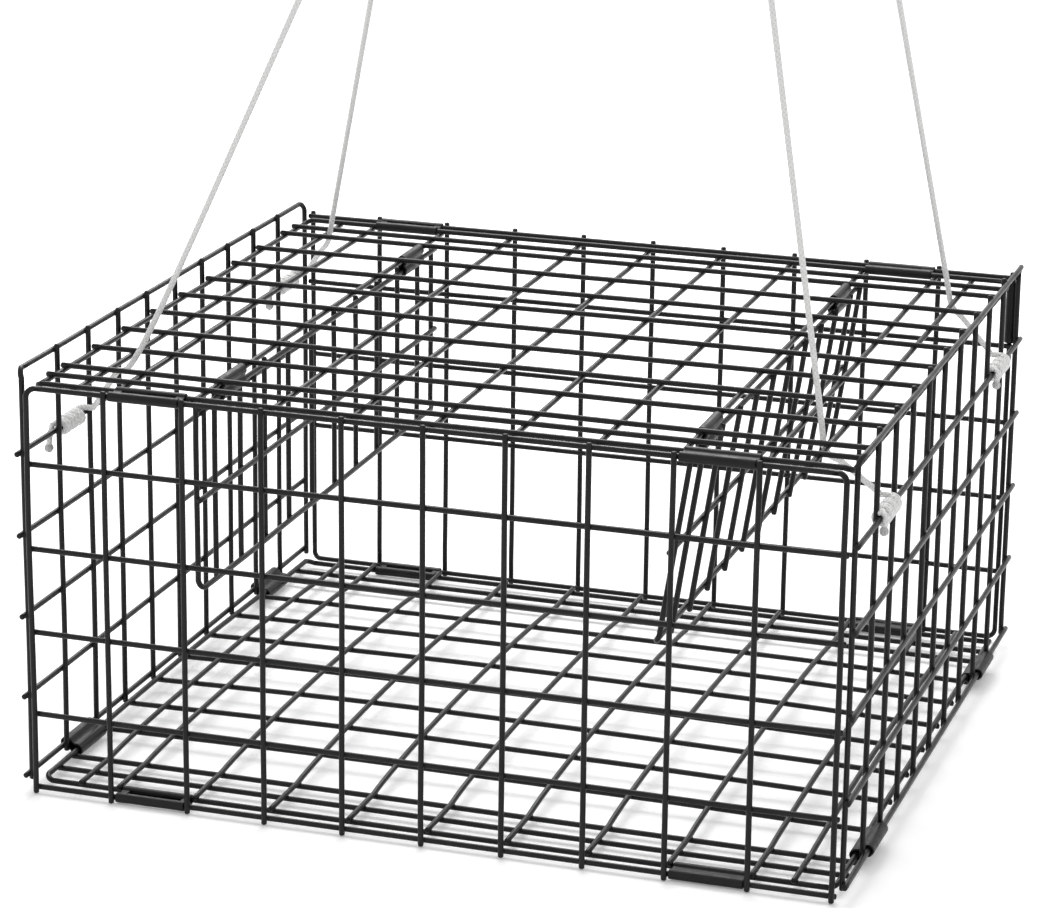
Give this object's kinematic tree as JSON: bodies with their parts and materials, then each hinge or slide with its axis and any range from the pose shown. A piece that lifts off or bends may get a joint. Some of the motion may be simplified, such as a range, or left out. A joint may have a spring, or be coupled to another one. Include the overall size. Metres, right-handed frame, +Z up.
{
  "type": "crab trap",
  "caption": "Folding rectangular crab trap of coated welded wire mesh, with two drop-down side walls, two hanging inner gates and white hauling cords",
  "frame": {"origin": "middle of the trap's footprint, on the ground that it stands on", "axes": "+Z up; -Y is the front wall, which faces the camera; +X is the right side wall"},
  "size_m": [0.6422, 0.5843, 0.6397],
  "materials": {
    "coated_wire": "black vinyl coat, satin",
    "clip_plastic": "matt black",
    "white_cord": "braided, white"
  },
  "bodies": {
    "floor": {"floor_panel": "coated_wire", "clip_front_bottom_left": "clip_plastic", "clip_front_bottom_right": "clip_plastic", "clip_back_bottom_left": "clip_plastic", "clip_back_bottom_right": "clip_plastic", "clip_front_side_left": "clip_plastic", "clip_front_side_right": "clip_plastic", "clip_back_side_left": "clip_plastic", "clip_back_side_right": "clip_plastic", "cord_front_left": "white_cord", "end_knot_front_left": "white_cord", "cord_back_left": "white_cord", "end_knot_back_left": "white_cord", "cord_front_right": "white_cord", "end_knot_front_right": "white_cord", "cord_back_right": "white_cord", "end_knot_back_right": "white_cord"},
    "front_wall": {"front_wall": "coated_wire"},
    "back_wall": {"back_wall": "coated_wire", "sleeve_back_wall": "clip_plastic"},
    "top": {"top_panel": "coated_wire", "clip_front_top_left": "clip_plastic", "clip_front_top_right": "clip_plastic", "clip_back_top_left": "clip_plastic", "clip_back_top_right": "clip_plastic", "clip_gate_front_left": "clip_plastic", "clip_gate_front_right": "clip_plastic", "clip_gate_back_left": "clip_plastic", "clip_gate_back_right": "clip_plastic"},
    "drop_left": {"drop_wall_left": "coated_wire", "tie_front_left": "white_cord", "tie_back_left": "white_cord"},
    "drop_right": {"drop_wall_right": "coated_wire", "tie_front_right": "white_cord", "tie_back_right": "white_cord"},
    "gate_left": {"gate_left": "coated_wire"},
    "gate_right": {"gate_right": "coated_wire"}
  },
  "joints": [
    {"name": "fold", "type": "hinge", "parent": "floor", "child": "front_wall", "pos_m": [0, -0.28665, 0.00451], "axis": [1, 0, 0], "range_deg": [-10, 10]},
    {"name": "fold_back", "type": "hinge", "parent": "floor", "child": "back_wall", "pos_m": [0, 0.28665, 0.00451], "axis": [1, 0, 0], "range_deg": [-10, 10]},
    {"name": "fold_top", "type": "hinge", "parent": "front_wall", "child": "top", "pos_m": [0, -0.28665, 0.31461], "axis": [1, 0, 0], "range_deg": [-10, 10]},
    {"name": "drop_left", "type": "hinge", "parent": "floor", "child": "drop_left", "pos_m": [-0.314, 0, 0.01241], "axis": [0, -1, 0], "range_deg": [0, 90], "deforming": ["cord_front_left", "cord_back_left"]},
    {"name": "drop_right", "type": "hinge", "parent": "floor", "child": "drop_right", "pos_m": [0.314, 0, 0.01241], "axis": [0, 1, 0], "range_deg": [0, 90], "deforming": ["cord_front_right", "cord_back_right"]},
    {"name": "gate_left", "type": "hinge", "parent": "top", "child": "gate_left", "pos_m": [-0.183, 0, 0.30271], "axis": [0, -1, 0], "range_deg": [-60, 88]},
    {"name": "gate_right", "type": "hinge", "parent": "top", "child": "gate_right", "pos_m": [0.183, 0, 0.30271], "axis": [0, 1, 0], "range_deg": [-68.5, 79.5]}
  ],
  "couplings": [
    {"joint": "fold_back", "follows": "fold", "ratio": 1},
    {"joint": "fold_top", "follows": "fold", "ratio": -1}
  ]
}
